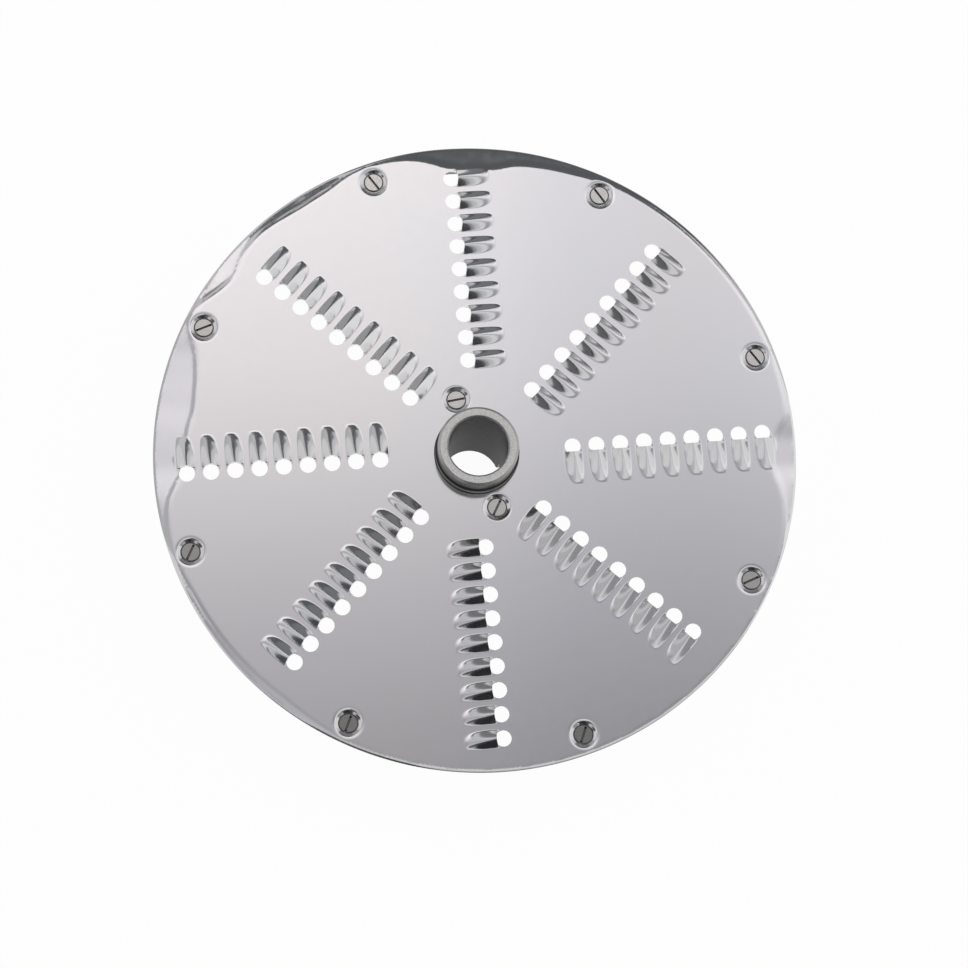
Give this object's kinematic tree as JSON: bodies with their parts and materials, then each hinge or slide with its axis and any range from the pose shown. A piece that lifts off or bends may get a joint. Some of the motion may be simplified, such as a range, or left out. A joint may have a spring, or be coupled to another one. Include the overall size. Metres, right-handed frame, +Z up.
{
  "type": "shredding disc",
  "caption": "Round shredding disc for a vegetable cutter: a stainless sheet with radial rows of hooded grating teeth, screwed to a cast carrier with a shaft bore.",
  "frame": {"origin": "centre of the hub's lower end face, on the shaft bore's axis", "axes": "+Z up along the shaft bore to the toothed side; +X along one of the rows of teeth set further out"},
  "size_m": [0.205, 0.205, 0.044],
  "materials": {
    "plate_steel": "polished",
    "cast_aluminium": "satin",
    "screw_steel": "satin"
  },
  "bodies": {
    "root": {"grater_plate": "plate_steel", "carrier": "cast_aluminium", "plate_screws": "screw_steel"}
  },
  "joints": []
}
